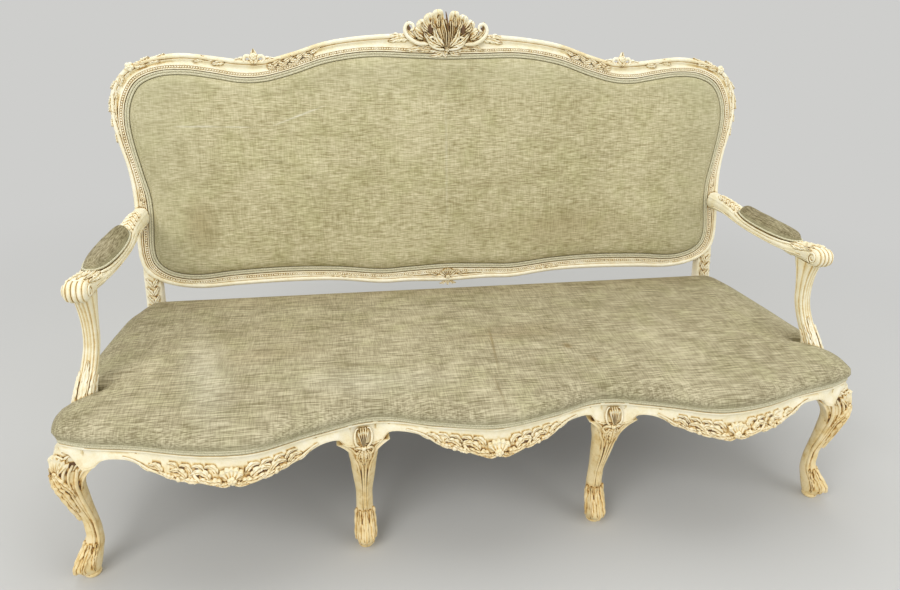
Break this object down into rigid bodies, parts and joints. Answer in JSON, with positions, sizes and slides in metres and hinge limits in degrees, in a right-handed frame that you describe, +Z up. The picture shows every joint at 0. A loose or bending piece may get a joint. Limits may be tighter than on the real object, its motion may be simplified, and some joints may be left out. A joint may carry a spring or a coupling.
{
  "type": "cabriole sofa",
  "caption": "Open-armed cabriole sofa with a serpentine carved back frame, padded arms, upholstered seat and back, and scroll-foot cabriole legs.",
  "frame": {"origin": "On the floor under the middle of the sofa's bounding box", "axes": "+X along the sofa to the sitter's left when seen from behind, which is the viewer's right from the front; +Y to the rear; +Z up"},
  "size_m": [1.7998, 0.8238, 1.1154],
  "materials": {
    "painted_beech": "hand-carved beech with cream paint, rubbed ochre glaze in the recesses",
    "plain_beech": "sawn beech, unfinished",
    "steel": "plain steel wood screws",
    "jute_webbing": "woven jute webbing",
    "hessian": "plain woven hessian",
    "horsehair": "stuffing in calico",
    "velvet": "slubbed olive-beige strie velvet",
    "pad_velvet": "browner worn velvet on the arm pads",
    "welt": "double welt covered in the velvet",
    "lining": "black cotton bottom cloth"
  },
  "bodies": {
    "root": {"crest_rail": "painted_beech", "stile_left": "painted_beech", "stile_right": "painted_beech", "lower_back_rail": "painted_beech", "front_rail_left": "painted_beech", "front_rail_centre": "painted_beech", "front_rail_right": "painted_beech", "side_rail_left": "painted_beech", "side_rail_right": "painted_beech", "rear_rail": "plain_beech", "cross_rail_left": "plain_beech", "cross_rail_right": "plain_beech", "front_leg_outer_left": "painted_beech", "front_leg_outer_right": "painted_beech", "front_leg_inner_left": "painted_beech", "front_leg_inner_right": "painted_beech", "rear_leg_inner_left": "painted_beech", "rear_leg_inner_right": "painted_beech", "arm_left": "painted_beech", "arm_right": "painted_beech", "arm_support_left": "painted_beech", "arm_support_right": "painted_beech", "corner_blocks": "plain_beech", "corner_block_screws": "steel", "joint_pegs": "plain_beech", "back_muntins": "plain_beech", "seat_webbing": "jute_webbing", "seat_hessian": "hessian", "seat_stuffing": "horsehair", "seat_cover": "velvet", "seat_welt": "welt", "seat_bottom_cloth": "lining", "back_webbing": "jute_webbing", "back_hessian": "hessian", "back_stuffing": "horsehair", "back_cover": "velvet", "back_welt": "welt", "back_outer_cover": "velvet", "arm_stuffing_left": "horsehair", "arm_stuffing_right": "horsehair", "arm_cover_left": "pad_velvet", "arm_cover_right": "pad_velvet", "arm_welt_left": "welt", "arm_welt_right": "welt"}
  },
  "joints": []
}
